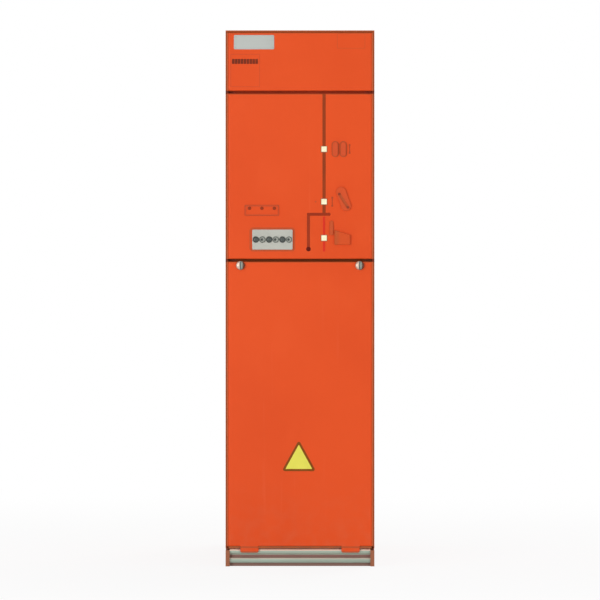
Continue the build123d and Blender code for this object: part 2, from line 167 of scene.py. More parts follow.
# edge and seam are tones of painted shade for rims and seam lines; dust and scuff are wear
powderCoat = {"colour": tone(226, 78, 20), "deep": tone(222, 75, 18), "pale": tone(229, 83, 27),
              "dust": tone(196, 138, 108), "edge": tone(178, 84, 40), "scuff": tone(238, 118, 76),
              "seam": tone(104, 36, 14), "rough": 0.42, "cloud": 3.1, "patch": 11, "wipe": 60,
              "dirt": 34, "dirtFade": (0.26, 0.02), "ripple": 95, "peel": 700, "peelDepth": 0.00012}
seamHeights = [(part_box(above)[0].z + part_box(below)[1].z) / 2
               for above, below in (("header_panel", "mechanism_panel"), ("mechanism_panel", "cable_cover"))]
# painted shade: these tones darken the cross rails and the side flanges behind the two seams
seamShadeTones = [tone(168, 66, 38), tone(132, 66, 28)]      # what stands behind the upper and the lower seam


def orangeCoat(name, edge=None):
    # sprayed powder coat; edge makes the masks and tones of shaded rims
    coat = Finish(name, {"Specular IOR Level": 0.22, "Coat Roughness": 0.25})
    cloud = coat.grain(powderCoat["cloud"], 3).step(0.38, 0.64)
    colour = coat.blend(cloud, powderCoat["deep"], powderCoat["colour"])
    patch = coat.grain(powderCoat["patch"], 2, (1, 1, 0.6)).step(0.52, 0.75)
    colour = coat.blend(patch * 0.35, colour, powderCoat["pale"])
    # fine wiping marks that run up and down
    wipes = coat.grain(powderCoat["wipe"], 3, (1, 1, 0.05)).step(0.62, 0.8)
    colour = coat.blend(wipes * 0.12, colour, powderCoat["scuff"])
    dust = coat.z.step(*powderCoat["dirtFade"]) * coat.grain(powderCoat["dirt"], 4).step(0.35, 0.75)
    colour = coat.blend(dust * 0.09, colour, powderCoat["dust"])
    for mask, shade in (edge(coat) if edge else []):
        colour = coat.blend(mask, colour, shade)
    coat.wear("Coat Weight", 0.06 * (1 - dust))
    peel = coat.grain(powderCoat["peel"], 1)
    return coat.done(colour, powderCoat["rough"] + 0.08 * cloud + 0.06 * wipes + 0.1 * dust,
                     peel + 0.25 * coat.grain(powderCoat["ripple"]), 0.35, powderCoat["peelDepth"])


skinFade = (0.0030, 0.0004)             # how far behind a front face the shading of its rim reaches


def frontRim(name, width=0.0030, strength=0.42, shade=powderCoat["edge"], sides=0.35, foot=0.6, top=0.7):
    # painted shade along a front piece's own outline, strongest at its upper fold
    low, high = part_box(name)

    def masks(coat):
        facing = coat.y.stepFrom(low.y, skinFade)
        side = (coat.x - low.x).least(high.x - coat.x)
        near = (side / sides).least((coat.z - low.z) / foot).step(width, 0.2 * width)
        upper = (high.z - coat.z).step(1.5 * width, 0.3 * width)
        return [(near * facing * strength, shade), (upper * facing * top, shade)]
    return masks


# tones of painted shade at the foot of the cable cover
coverFoot = {"fold": 0.0478, "foldHalf": 0.0032, "foldShade": tone(160, 78, 38), "strength": 0.6,
             "tongue": 0.126, "tongueHalf": 0.024, "tongueTop": 0.0456, "tongueShade": tone(176, 66, 40),
             "sideFade": (-0.0035, -0.0010), "topFade": (0.0004, -0.0004),
             "lip": tone(146, 84, 54), "lipFade": (0.0042, 0.0026), "lipStrength": 0.7}


def coverRim(name):
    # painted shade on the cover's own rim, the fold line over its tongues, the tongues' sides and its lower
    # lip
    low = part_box(name)[0]
    rim = frontRim(name)

    def masks(coat):
        facing = coat.y.stepFrom(low.y, skinFade)
        fold = abs(coat.z - coverFoot["fold"]).step(coverFoot["foldHalf"], coverFoot["foldHalf"] / 2)
        side = abs(abs(coat.x) - coverFoot["tongue"])
        side = side.stepFrom(coverFoot["tongueHalf"], coverFoot["sideFade"])
        side = side * coat.z.stepFrom(coverFoot["tongueTop"], coverFoot["topFade"])
        lip = coat.z.stepFrom(low.z, coverFoot["lipFade"])
        return rim(coat) + [(fold * facing * coverFoot["strength"], coverFoot["foldShade"]),
                            (side * facing * coverFoot["strength"], coverFoot["tongueShade"]),
                            (lip * facing * coverFoot["lipStrength"], coverFoot["lip"])]
    return masks


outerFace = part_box("right_side_panel")[1].x - 0.0006     # shading inside the shell stops short of it


def withinShell(coat):
    return abs(coat.x).stepFrom(outerFace, (0.0004, 0))


noseShade = {"depth": 0.0035, "strength": 0.9, "inside": (0.030, 0.026), "outside": (0.0038, 0.0024),
             "seamFade": (0.0048, 0.0030), "footTop": (0.0530, 0.0505), "footEnd": (0.0440, 0.0446),
             "footStrength": 0.85}


def sheetNose(name):
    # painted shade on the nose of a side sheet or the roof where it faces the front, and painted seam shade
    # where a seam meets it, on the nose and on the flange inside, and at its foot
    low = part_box(name)[0]

    def masks(coat):
        nose = coat.y.step(low.y + noseShade["depth"], low.y + 0.6 * noseShade["depth"])
        layers = [(nose * noseShade["strength"], powderCoat["edge"])]
        inside = coat.y.stepFrom(low.y, noseShade["inside"]) * withinShell(coat)
        outside = coat.y.stepFrom(low.y, noseShade["outside"])
        for height, behind in zip(seamHeights, seamShadeTones):
            near = abs(coat.z - height).step(*noseShade["seamFade"])
            layers += [(near * inside, behind), (near * outside, powderCoat["seam"])]
        foot = coat.z.step(*noseShade["footTop"]) * coat.z.step(*noseShade["footEnd"])
        return layers + [(foot * inside * noseShade["footStrength"], coverFoot["foldShade"])]
    return masks


postShade = {"tone": tone(146, 98, 70), "nose": 0.012, "deep": 0.06, "strength": 0.9}


def postNose(name):
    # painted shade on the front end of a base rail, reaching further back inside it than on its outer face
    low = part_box(name)[0]

    def masks(coat):
        nose = coat.y.step(low.y + postShade["nose"], low.y + 0.6 * postShade["nose"])
        inner = coat.y.step(low.y + postShade["deep"], low.y + 0.8 * postShade["deep"])
        inner = inner * withinShell(coat)
        return [(nose.most(inner) * postShade["strength"], postShade["tone"])]
    return masks


reliefDarkening = {"bevel": 0.0010, "edge": 0.7, "darkening": 120, "lighterEnd": 0.32}


def darkenedRelief(name, shade, strength, fadeX=None):
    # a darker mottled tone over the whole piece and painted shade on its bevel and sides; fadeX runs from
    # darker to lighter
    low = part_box(name)[0]

    def masks(coat):
        bevel = coat.y.step(low.y + 0.2 * reliefDarkening["bevel"], low.y + reliefDarkening["bevel"])
        darkening = strength * (0.7 + 0.6 * coat.grain(reliefDarkening["darkening"], 3))
        if fadeX:
            dull = coat.x.step(fadeX[1], fadeX[0])
            darkening = darkening * (reliefDarkening["lighterEnd"] + (1 - reliefDarkening["lighterEnd"]) * dull)
        return [(darkening, shade), (bevel * reliefDarkening["edge"], powderCoat["edge"])]
    return masks


def darkPaint(name, colour, rough, gloss):
    paint = Finish(name, {"Specular IOR Level": gloss})
    haze = paint.grain(7, 3).step(0.35, 0.7)
    fleck = paint.grain(240).step(0.6, 0.78)
    colour = paint.blend(haze * 0.5 + fleck * 0.2, colour, scaled(colour, 1.5, 0.006))
    return paint.done(colour, rough + 0.12 * haze, paint.grain(520), 0.3, 0.0001)


zincCoat = {"dark": tone(164, 169, 172), "light": tone(194, 198, 200), "stain": tone(174, 169, 158),
            "spangle": 150}


def zincSheet(name):
    # hot dip zinc with its spangle
    zinc = Finish(name, {"Metallic": 0.75})
    flake = zinc.cells(zincCoat["spangle"])
    fine = zinc.cells(zincCoat["spangle"] * 2.7)
    shade = (0.7 * flake + 0.3 * fine).step(0.1, 0.9)
    colour = zinc.blend(shade, zincCoat["dark"], zincCoat["light"])
    stain = zinc.grain(14, 4).step(0.55, 0.75)
    return zinc.done(zinc.blend(stain * 0.35, colour, zincCoat["stain"]), 0.38 + 0.2 * shade + 0.15 * stain,
                     flake + 0.4 * zinc.grain(300), 0.25, 0.00008)


# glint, under, groove and foot are painted light and shade of the rail; stain is real
beadRail = {"steel": tone(158, 175, 160), "glint": tone(252, 214, 194), "under": tone(176, 192, 176),
            "groove": tone(138, 102, 94), "foot": tone(132, 100, 90), "stain": tone(120, 92, 80),
            "upper": 0.037, "lower": 0.015, "grooveZ": 0.0247, "grooveFade": (0.0044, 0.0032),
            "crown": (0.0008, 0.0034), "shade": (-0.0010, -0.0060), "shadeFoot": (0.0240, 0.0280),
            "lowCrown": (0.0020, 0.0050), "belowUpper": (0.012, 0.016), "lowShade": (-0.0010, -0.0055),
            "footFade": (0.0092, 0.0076), "draw": 900, "blotch": 40}


def rolledRail(name):
    # painted highlights on the crowns of the two beads, a lighter tone under them against their shade,
    # painted shade in the groove and along the floor
    rail = Finish(name, {"Metallic": 0.35})
    upper = rail.z - beadRail["upper"]
    lower = rail.z - beadRail["lower"]
    top = upper.step(*beadRail["crown"])
    lowTop = lower.step(*beadRail["lowCrown"]) * (upper * -1).step(*beadRail["belowUpper"])
    under = upper.step(*beadRail["shade"]) * rail.z.step(*beadRail["shadeFoot"])
    lowUnder = lower.step(*beadRail["lowShade"])
    between = abs(rail.z - beadRail["grooveZ"]).step(*beadRail["grooveFade"])
    foot = rail.z.step(*beadRail["footFade"])
    draw = rail.grain(beadRail["draw"], 3, (0.012, 1, 1))
    blotch = rail.grain(beadRail["blotch"], 3, (0.25, 1, 1)).step(0.4, 0.7)
    colour = rail.blend(under.most(lowUnder * 0.35), beadRail["steel"], beadRail["under"])
    colour = rail.blend(top.most(lowTop * 0.5), colour, beadRail["glint"])
    colour = rail.blend(between, colour, beadRail["groove"])
    colour = rail.blend(foot, colour, beadRail["foot"])
    colour = rail.blend(blotch * 0.15, colour, beadRail["stain"])
    return rail.done(colour, 0.36 + 0.2 * draw + 0.25 * between.most(foot), draw, 0.3, 0.0001)


def brushedSteel(name, colour, rough=0.34, stretch=(1, 1, 0.02), metallic=0.85):
    steel = Finish(name, {"Metallic": metallic})
    lines = steel.grain(650, 3, stretch)
    cloud = steel.grain(9, 3).step(0.35, 0.7)
    colour = steel.blend(0.55 * lines + 0.45 * cloud, colour, scaled(colour, 0.78))
    return steel.done(colour, rough + 0.16 * lines + 0.08 * cloud, lines, 0.25, 0.00006)


def castResin(name):
    resin = Finish(name, {"Specular IOR Level": 0.55})
    flow = resin.grain(16, 4, (1, 0.35, 1)).step(0.3, 0.7)
    speck = resin.grain(420).step(0.66, 0.8)
    colour = resin.blend(flow, tone(112, 46, 34), tone(132, 58, 42))
    return resin.done(resin.blend(speck * 0.4, colour, tone(160, 92, 70)), 0.24 + 0.12 * flow + 0.2 * speck,
                      resin.grain(60) + 0.3 * speck, 0.2, 0.0002)


def bareCopper(name):
    copper = Finish(name, {"Metallic": 1.0})
    film = copper.grain(46, 4).step(0.42, 0.72)
    lines = copper.grain(800, 2, (0.02, 1, 1))
    colour = copper.blend(film, tone(205, 132, 96), tone(150, 92, 66))
    return copper.done(colour, 0.28 + 0.25 * film + 0.12 * lines, lines + film, 0.2, 0.00008)


def softRubber(name, colour):
    rubber = Finish(name, {"Specular IOR Level": 0.3})
    bloom = rubber.grain(30, 4).step(0.4, 0.8)
    return rubber.done(rubber.blend(bloom * 0.5, colour, tone(74, 72, 69)), 0.62 + 0.2 * bloom,
                       rubber.grain(900) + bloom, 0.4, 0.00015)


def mouldedPlastic(name, colour, rough=0.45):
    # fine spark-eroded texture and a faint handling shine
    plastic = Finish(name, {"Specular IOR Level": 0.4})
    cloud = plastic.grain(26, 3).step(0.35, 0.7)
    tooth = plastic.grain(1500)
    colour = plastic.blend(cloud * 0.35 + tooth * 0.15, colour, scaled(colour, 0.8))
    return plastic.done(colour, rough + 0.15 * tooth - 0.08 * cloud, tooth, 0.35, 0.00008)


# lit half, shaded half, shaded slot and shadow rim of the knob head are painted light and shade; stain is
# random
knobFace = {"bright": tone(206, 182, 164), "shade": tone(140, 148, 138), "slot": tone(104, 116, 112),
            "rim": tone(100, 60, 44), "stain": tone(90, 84, 76), "rings": 9000,
            "halfFade": (-0.0004, 0.0010), "rimFade": (0.0044, 0.0066),
            "slotHalf": 0.0015, "slotFade": (0.0003, 0), "slotFront": (-0.0042, -0.0050)}


def turnedKnob(name, centreX, centreZ):
    # plated head with turned rings; the half away from the light is painted darker as painted shade, with
    # painted shade in the slot and a painted shadow rim on that side
    knob = Finish(name, {"Metallic": 0.45})
    side = knob.x - centreX
    rise = knob.z - centreZ
    reach = (side * side + rise * rise) ** 0.5
    rings = reach.maths("SINE", reach * knobFace["rings"])
    half = side.step(*knobFace["halfFade"])
    outer = side.step(*knobFace["rimFade"])
    slot = abs(side).stepFrom(knobFace["slotHalf"], knobFace["slotFade"])
    slot = slot * knob.y.stepFrom(mm * front, knobFace["slotFront"])
    colour = knob.blend(half, knobFace["bright"], knobFace["shade"])
    colour = knob.blend(slot, colour, knobFace["slot"])
    colour = knob.blend(outer, colour, knobFace["rim"])
    return knob.done(knob.blend(0.12 * knob.grain(300, 3), colour, knobFace["stain"]),
                     0.3 + 0.12 * half + 0.1 * knob.grain(120),
                     rings * 0.5 + knob.grain(700), 0.18, 0.00006)


windowRim = {"collar": 0.0044, "wide": 0.0011, "fade": (0.0002, -0.0002), "tone": tone(172, 104, 62),
             "cream": tone(253, 248, 212), "deep": tone(247, 238, 192)}


def lampCream(name, window):
    # cream pane in a thin brown bezel; the collar behind it is hidden in the sheet
    low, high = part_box(window)
    cream = Finish(name, {"Specular IOR Level": 0.5, "Coat Roughness": 0.1})
    cloud = cream.grain(120, 3).step(0.35, 0.7)
    colour = cream.blend(cloud, windowRim["cream"], windowRim["deep"])
    near = (cream.x - low.x).least(high.x - cream.x).least((cream.z - low.z).least(high.z - cream.z))
    pane = near.stepFrom(windowRim["collar"] + windowRim["wide"], windowRim["fade"])
    colour = cream.blend(pane, colour, windowRim["tone"])
    cream.wear("Coat Weight", 0.4 - 0.1 * cloud)
    return cream.done(colour, 0.22 + 0.12 * cloud, cream.grain(700), 0.12, 0.00005)


def printedInk(name, colour, fade=0.25):
    # screen print: slightly open at the pores of the coat below
    ink = Finish(name, {"Specular IOR Level": 0.12})
    pores = ink.grain(1300).step(0.56, 0.74)
    drift = ink.grain(22, 3).step(0.35, 0.7)
    under = powderCoat["colour"]
    tired = tuple(0.82 * c + 0.18 * u for c, u in zip(colour[:3], under[:3])) + (1.0,)
    shade = ink.blend(drift * 0.6, colour, tired)
    return ink.done(ink.blend(pores * fade, shade, under), 0.5 + 0.12 * pores,
                    ink.grain(600), 0.25, 0.00008)


def giveFinish(material, *names):
    for name in names:
        for place in nodes[name].material_slots:
            place.material = material


for name, edge in (("header_panel", frontRim), ("mechanism_panel", frontRim), ("cable_cover", coverRim),
                   ("left_side_panel", sheetNose), ("right_side_panel", sheetNose),
                   ("top_cover", sheetNose), ("base_left_rail", postNose), ("base_right_rail", postNose)):
    giveFinish(orangeCoat("orangeCoat_" + name, edge(name)), name)
# painted shade along the lamp strip's outline
giveFinish(orangeCoat("stripCoat", frontRim("lamp_strip", 0.0042, 0.7, tone(176, 74, 38), 1, 1)),
           "lamp_strip")
for name, shade, strength, fadeX in (("push_buttons", tone(186, 76, 42), 0.5, None),
                                     ("switch_escutcheon", tone(190, 78, 42), 0.42, None),
                                     ("padlock_bracket", tone(160, 84, 40), 0.66, (0.086, 0.104)),
                                     ("padlock_hasp", tone(176, 82, 42), 0.6, None)):
    giveFinish(orangeCoat("darkened_" + name, darkenedRelief(name, shade, strength, fadeX)), name)
giveFinish(orangeCoat("orangeCoat"), "cover_stiffener", "base_rear_rail", "rear_upper_panel",
           "rear_lower_panel")
# cross rails in the painted seam shade tones
giveFinish(darkPaint("upperSeamShadePaint", seamShadeTones[0], 0.6, 0.1), "upper_cross_rail")
giveFinish(darkPaint("lowerSeamShadePaint", seamShadeTones[1], 0.6, 0.1), "lower_cross_rail")
giveFinish(darkPaint("shaftSteel", tone(142, 62, 40), 0.55, 0.12), "drive_shafts")
giveFinish(zincSheet("zincSheet"), "mechanism_floor", "compartment_back", "front_floor_plate",
           "rear_floor_plate", "cable_clamp_rail", "earth_standoffs", "lifting_bushes")
giveFinish(rolledRail("rolledRail"), "base_front_rail")
giveFinish(brushedSteel("tankSteel", tone(176, 179, 180)), "gas_tank")
giveFinish(brushedSteel("receiverSteel", tone(184, 180, 172), 0.3, (1, 0.05, 1)), "left_stud_receiver",
           "right_stud_receiver")
giveFinish(castResin("castResin"), "left_bushing", "centre_bushing", "right_bushing")
giveFinish(bareCopper("bareCopper"), "bushing_contacts", "earth_bar")
giveFinish(softRubber("blackRubber", tone(38, 37, 36)), "cable_grommets")
windows = ("upper_indicator", "middle_indicator", "lower_indicator")
for name in windows:
    giveFinish(lampCream("creamPane_" + name, name), name)
giveFinish(mouldedPlastic("detectorGrey", tone(187, 188, 178)), "voltage_detector")
giveFinish(mouldedPlastic("socketBlack", tone(66, 72, 68), 0.4), "detector_lamps")
giveFinish(mouldedPlastic("portGrey", tone(154, 157, 148)), "detector_ports")
print("finishes given to the CAD pieces")


def goTo(mode):
    bpy.ops.object.mode_set(mode=mode)


def leaveAll():
    if bpy.context.object and bpy.context.object.mode != "OBJECT":
        goTo("OBJECT")
    bpy.ops.object.select_all(action="DESELECT")


def takeUp(piece):
    # selected alone and active
    leaveAll()
    piece.select_set(True)
    bpy.context.view_layer.objects.active = piece


def settle():
    # place, turn and size of a new primitive go into its mesh
    bpy.ops.object.transform_apply(location=True, rotation=True, scale=True)
    return bpy.context.object


def block(size, centre):
    # a cube of that size in mm
    leaveAll()
    bpy.ops.mesh.primitive_cube_add(size=1, location=[mm * part for part in centre],
                                    scale=[mm * part for part in size])
    return settle()


def slab(low, high):
    # the same from its lowest and highest corner
    return block([b - a for a, b in zip(low, high)], [(a + b) / 2 for a, b in zip(low, high)])


turns = {"-Y": (math.pi / 2, 0, 0), "+Y": (-math.pi / 2, 0, 0), "+Z": (0, 0, 0)}
outward = {"-Y": Vector((0, -1, 0)), "+Y": Vector((0, 1, 0)), "+Z": Vector((0, 0, 1))}


def stub(radius, height, seat, facing, sides=32):
    # a round or many-sided bar that stands on seat and points outwards
    leaveAll()
    middle = mm * Vector(seat) + outward[facing] * mm * height / 2
    bpy.ops.mesh.primitive_cylinder_add(vertices=sides, radius=mm * radius, depth=mm * height,
                                        location=middle, rotation=turns[facing])
    return settle()


def clearPicks(piece):
    goTo("OBJECT")
    for part in (piece.data.vertices, piece.data.edges, piece.data.polygons):
        part.foreach_set("select", [False] * len(part))


def pickFaces(piece, wanted):
    clearPicks(piece)
    for face in piece.data.polygons:
        face.select = wanted(face.center, face.normal)
    bpy.context.tool_settings.mesh_select_mode = (False, False, True)
    goTo("EDIT")


def pickEdges(piece, wanted):
    clearPicks(piece)
    for edge in piece.data.edges:
        first, second = (piece.data.vertices[n].co for n in edge.vertices)
        edge.select = wanted(first, second)
    bpy.context.tool_settings.mesh_select_mode = (False, True, False)
    goTo("EDIT")


def bevelPicks(width, segments):
    bpy.ops.mesh.bevel(offset=mm * width, segments=segments, affect="EDGES")
    goTo("OBJECT")


def along(first, second, axis):
    run = (second - first).normalized()
    return abs(run[axis]) > 0.99


def roundCorners(piece, axis, radius, segments=5):
    # bevels the edges that run along one axis
    pickEdges(piece, lambda a, b: along(a, b, axis))
    bevelPicks(radius, segments)


def endOf(piece, facing):
    # the way that it faces and how far it reaches there
    aim = outward[facing]
    return aim, max(v.co.dot(aim) for v in piece.data.vertices) - 1e-6


def softenFace(piece, facing, width, segments=2):
    # bevels the outline of the face that looks that way
    aim, reach = endOf(piece, facing)
    pickEdges(piece, lambda a, b: a.dot(aim) > reach and b.dot(aim) > reach)
    bevelPicks(width, segments)


def crown(piece, facing, steps):
    # insets the end face again and again: (in, out) in mm
    aim, reach = endOf(piece, facing)
    pickFaces(piece, lambda centre, normal: normal.dot(aim) > 0.99 and centre.dot(aim) > reach)
    for inwards, up in steps:
        bpy.ops.mesh.inset(thickness=mm * inwards, depth=mm * up)
    goTo("OBJECT")


def joinTo(piece, other):
    takeUp(piece)
    other.select_set(True)
    bpy.ops.object.join()


def dress(piece, name, material, body="housing", smooth=35):
    piece.name = name
    piece.data.name = name
    piece.data.materials.clear()
    piece.data.materials.append(material)
    takeUp(piece)
    if smooth:
        bpy.ops.object.shade_smooth_by_angle(angle=math.radians(smooth))
    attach(piece, body)


def twinOf(piece, shift):
    # a copy with its own mesh, moved by shift in mm
    twin = piece.copy()
    twin.data = piece.data.copy()
    twin.data.transform(Matrix.Translation(mm * Vector(shift)))
    bpy.context.collection.objects.link(twin)
    return twin


def copyTo(piece, name, shift):
    twin = twinOf(piece, shift)
    twin.name = name
    twin.data.name = name
    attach(twin, "housing")


def copyRest(first, stem, shifts):
    # numbered copies of the first of its kind
    for n, shift in enumerate(shifts, 2):
        copyTo(first, f"{stem}_{n}", shift)


def onFront(x, z, lift=0.0):
    return (x, front - lift, z)


# header: plate, printed label and a spare label field
plate = {"width": 100.4, "height": 35.6, "x": -114.6, "z": 1306.6, "thick": 1.0, "corner": 3.0,
         "soft": 0.3, "groove": [(1.6, 0), (0.3, -0.2), (0.4, 0), (0.3, 0.2)],
         "rivetX": 45.9, "rivetZ": 13.4, "rivet": 1.5, "rivetTall": 0.7,
         "rivetDome": [(0.35, 0.35), (0.35, 0.15), (0.35, 0.0), (0.15, -0.3)]}


def buildNamePlate():
    piece = block((plate["width"], plate["thick"], plate["height"]),
                  onFront(plate["x"], plate["z"], plate["thick"] / 2))
    roundCorners(piece, 1, plate["corner"])
    softenFace(piece, "-Y", plate["soft"])
    crown(piece, "-Y", plate["groove"])
    metal = brushedSteel("plateAluminium", tone(181, 185, 180), 0.4, (0.02, 1, 1), 0.25)
    dress(piece, "name_plate", metal, smooth=15)
    seat = onFront(plate["x"] - plate["rivetX"], plate["z"] + plate["rivetZ"], plate["thick"])
    first = stub(plate["rivet"], plate["rivetTall"], seat, "-Y", 20)
    crown(first, "-Y", plate["rivetDome"])
    dress(first, "name_plate_rivet_1", metal)
    across, down = 2 * plate["rivetX"], -2 * plate["rivetZ"]
    copyRest(first, "name_plate_rivet", [(across, 0, 0), (0, 0, down), (across, 0, down)])


def thinFrame(name, area, material):
    # a printed outline: a sheet with rounded corners whose middle is taken out
    leaveAll()
    middle = onFront((area["x0"] + area["x1"]) / 2, (area["z0"] + area["z1"]) / 2)
    bpy.ops.mesh.primitive_plane_add(size=1, location=mm * Vector(middle), rotation=(math.pi / 2, 0, 0))
    bpy.context.object.scale = (mm * (area["x1"] - area["x0"]), mm * (area["z1"] - area["z0"]), 1)
    piece = settle()
    goTo("EDIT")
    bpy.ops.mesh.select_all(action="SELECT")
    bpy.ops.mesh.bevel(offset=mm * area["corner"], segments=5, affect="VERTICES")
    bpy.ops.mesh.select_all(action="SELECT")
    bpy.ops.mesh.inset(thickness=mm * area["line"])
    bpy.ops.mesh.delete(type="FACE")
    goTo("OBJECT")
    wall = piece.modifiers.new("thickness", "SOLIDIFY")
    wall.thickness, wall.offset = mm * area["thick"], 1
    bpy.ops.object.modifier_apply(modifier="thickness")
    dress(piece, name, material, smooth=0)


label = {"x0": -173, "x1": -100, "z0": 1195, "z1": 1277, "line": 1.1, "thick": 0.2, "corner": 1.5,
         "rowX0": -169.5, "rowZ": 1258.6, "mark": 6.4, "pitch": 7.3, "tall": 12.4, "count": 9,
         "markThick": 0.3, "markCorner": 1.0, "markSoft": 0.1}


def buildLabel():
    thinFrame("rating_label_outline", label, printedInk("faintPrint", tone(196, 78, 44), 0.4))
    dark = printedInk("darkPrint", tone(110, 44, 24), 0.3)
    first = block((label["mark"], label["markThick"], label["tall"]),
                  onFront(label["rowX0"] + label["mark"] / 2, label["rowZ"], label["markThick"] / 2))
    roundCorners(first, 1, label["markCorner"], 3)
    softenFace(first, "-Y", label["markSoft"], 1)
    dress(first, "label_mark_1", dark)
    copyRest(first, "label_mark", [(n * label["pitch"], 0, 0) for n in range(1, label["count"])])


spareField = {"x0": 92.5, "x1": 162.5, "z0": 1291, "z1": 1328, "line": 1.2, "thick": 0.15, "corner": 1.5}

buildNamePlate()
buildLabel()
thinFrame("spare_label_outline", spareField, printedInk("veryFaintPrint", tone(202, 82, 42), 0.4))
print("header dressed")


# mimic diagram
mimic = {"x": 60, "wide": 7.9, "thick": 0.3, "soft": 0.12, "top": 1178.0, "liveWide": 5.5, "liveTop": 872,
         "liveFoot": 785, "branchZ": 877.6, "branchX0": 21.0, "branchX1": 72, "branchWide": 7.2,
         "branchCorner": 1.6, "branchSoft": 0.1, "dropWide": 7.5, "dropZ": 791, "dotRadius": 5.7,
         "endDot": 4.2, "dotThick": 0.4, "line": tone(140, 58, 24), "branch": tone(142, 46, 20),
         "drop": tone(150, 52, 24), "dot": tone(94, 18, 4), "live": tone(214, 48, 32)}


def stripe(name, x, z0, z1, wide, material):
    piece = block((wide, mimic["thick"], z1 - z0), onFront(x, (z0 + z1) / 2, mimic["thick"] / 2))
    softenFace(piece, "-Y", mimic["soft"])
    dress(piece, name, material, smooth=0)


def inkDot(name, x, z, radius, material):
    piece = stub(radius, mimic["dotThick"], onFront(x, z), "-Y", 40)
    crown(piece, "-Y", [(0.4, 0.1), (radius / 2, 0.05)])
    dress(piece, name, material)


def buildMimic():
    line = printedInk("mimicLine", mimic["line"], 0.12)
    branch = printedInk("mimicBranch", mimic["branch"], 0.12)
    drop = printedInk("mimicDrop", mimic["drop"], 0.12)
    dot = printedInk("mimicDot", mimic["dot"], 0.08)
    live = printedInk("mimicLive", mimic["live"], 0.1)
    # the lines stop at the windows
    gap = windowRim["collar"] / mm
    feet, heads = [], []
    for name in windows:
        low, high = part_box(name)
        feet.append(high.z / mm - gap)
        heads.append(low.z / mm + gap)
    branchTop = mimic["branchZ"] + mimic["branchWide"] / 2
    for n, (foot, head) in enumerate([(feet[0], mimic["top"]), (feet[1], heads[0]),
                                      (branchTop, heads[1])], 1):
        stripe(f"mimic_line_{n}", mimic["x"], foot, head, mimic["wide"], line)
    # the branch starts as a square at its corner and is pulled out sideways
    wide = mimic["branchWide"]
    corner = block((wide, mimic["thick"], wide),
                   onFront(mimic["branchX0"], mimic["branchZ"], mimic["thick"] / 2))
    pickFaces(corner, lambda centre, normal: normal.x > 0.99)
    reach = mimic["branchX1"] - mimic["branchX0"] - wide / 2
    bpy.ops.mesh.extrude_region_move(TRANSFORM_OT_translate={"value": (mm * reach, 0, 0)})
    roundCorners(corner, 1, mimic["branchCorner"], 4)
    softenFace(corner, "-Y", mimic["branchSoft"], 1)
    dress(corner, "mimic_branch", branch, smooth=0)
    stripe("mimic_drop", mimic["branchX0"], mimic["dropZ"], mimic["branchZ"] - wide / 2,
           mimic["dropWide"], drop)
    inkDot("mimic_drop_dot", mimic["branchX0"], mimic["dropZ"], mimic["dotRadius"], dot)
    inkDot("mimic_branch_dot", mimic["branchX1"], mimic["branchZ"], mimic["endDot"], branch)
    stripe("mimic_live_top", mimic["x"], feet[2], mimic["liveTop"], mimic["liveWide"], live)
    stripe("mimic_live_foot", mimic["x"], mimic["liveFoot"], heads[2], mimic["liveWide"], live)


# printed strokes beside the push buttons and the escutcheon: x, lower and upper z; and one dot
strokes = {"places": {"button_stroke": (123.6, 1028.5, 1052.5), "switch_stroke": (80.4, 896.5, 921.5)},
           "wide": 2.4, "headWide": 4.2, "head": 5.5, "shoulder": 0.5, "thick": 0.2, "corner": 0.35,
           "dotX": 39.2, "dotZ": 909, "dotRadius": 2.2}


def buildStrokes():
    # each is drawn out at both ends, widened there and drawn out again
    faint = printedInk("strokePrint", tone(168, 70, 38), 0.3)
    for name, (x, z0, z1) in strokes["places"].items():
        piece = block((strokes["wide"], strokes["thick"], z1 - z0 - 2 * strokes["head"]),
                      onFront(x, (z0 + z1) / 2, strokes["thick"] / 2))
        for way, end in ((1, z1 - strokes["head"]), (-1, z0 + strokes["head"])):
            pickFaces(piece, lambda centre, normal: normal.z * way > 0.99)
            first = way * mm * strokes["shoulder"]
            second = way * mm * (strokes["head"] - strokes["shoulder"])
            bpy.ops.mesh.extrude_region_move(TRANSFORM_OT_translate={"value": (0, 0, first)})
            bpy.ops.transform.resize(value=(strokes["headWide"] / strokes["wide"], 1, 1),
                                     center_override=mm * Vector(onFront(x, end, strokes["thick"] / 2)))
            bpy.ops.mesh.extrude_region_move(TRANSFORM_OT_translate={"value": (0, 0, second)})
        roundCorners(piece, 1, strokes["corner"], 3)
        dress(piece, name, faint, smooth=0)
    inkDot("window_dot", strokes["dotX"], strokes["dotZ"], strokes["dotRadius"],
           printedInk("dotPrint", tone(198, 80, 42), 0.35))


buildMimic()
buildStrokes()
print("mimic diagram printed")


# bare yellow triangle on its brown backing
sign = {"x": -2.9, "baseZ": 237.5, "tall": 77.5, "half": 42.5, "corner": 8.7, "thick": 0.7, "soft": 0.25,
        "rim": 5.4, "innerCorner": 2.2, "film": 0.25, "filmSoft": 0.1, "yellow": tone(222, 217, 76),
        "edge": tone(128, 70, 10)}


def foil(name, colour, gloss=0.4):
    # pigmented foil under a clear film
    film = Finish(name, {"Specular IOR Level": gloss, "Coat Roughness": 0.15})
    sun = film.grain(18, 3).step(0.35, 0.7)
    scratch = film.grain(260, 3, (1, 1, 0.08)).step(0.64, 0.8)
    colour = film.blend(sun * 0.5 + scratch * 0.3, colour, scaled(colour, 1.12, 0.01))
    film.wear("Coat Weight", gloss * (0.6 - 0.25 * scratch))
    return film.done(colour, 0.32 + 0.1 * sun + 0.15 * scratch, film.grain(240), 0.15, 0.0001)


def triangle(half, tall, baseZ, lift, thick, corner):
    # three-sided bar with its point up, drawn out to the width it needs
    leaveAll()
    radius = tall / 1.5
    seat = onFront(sign["x"], baseZ + radius / 2, lift + thick / 2)
    bpy.ops.mesh.primitive_cylinder_add(vertices=3, radius=mm * radius, depth=mm * thick,
                                        location=mm * Vector(seat), rotation=(math.pi / 2, 0, 0))
    bpy.context.object.scale.x = 2 * half / (math.sqrt(3) * radius)
    piece = settle()
    roundCorners(piece, 1, corner, 7)
    return piece


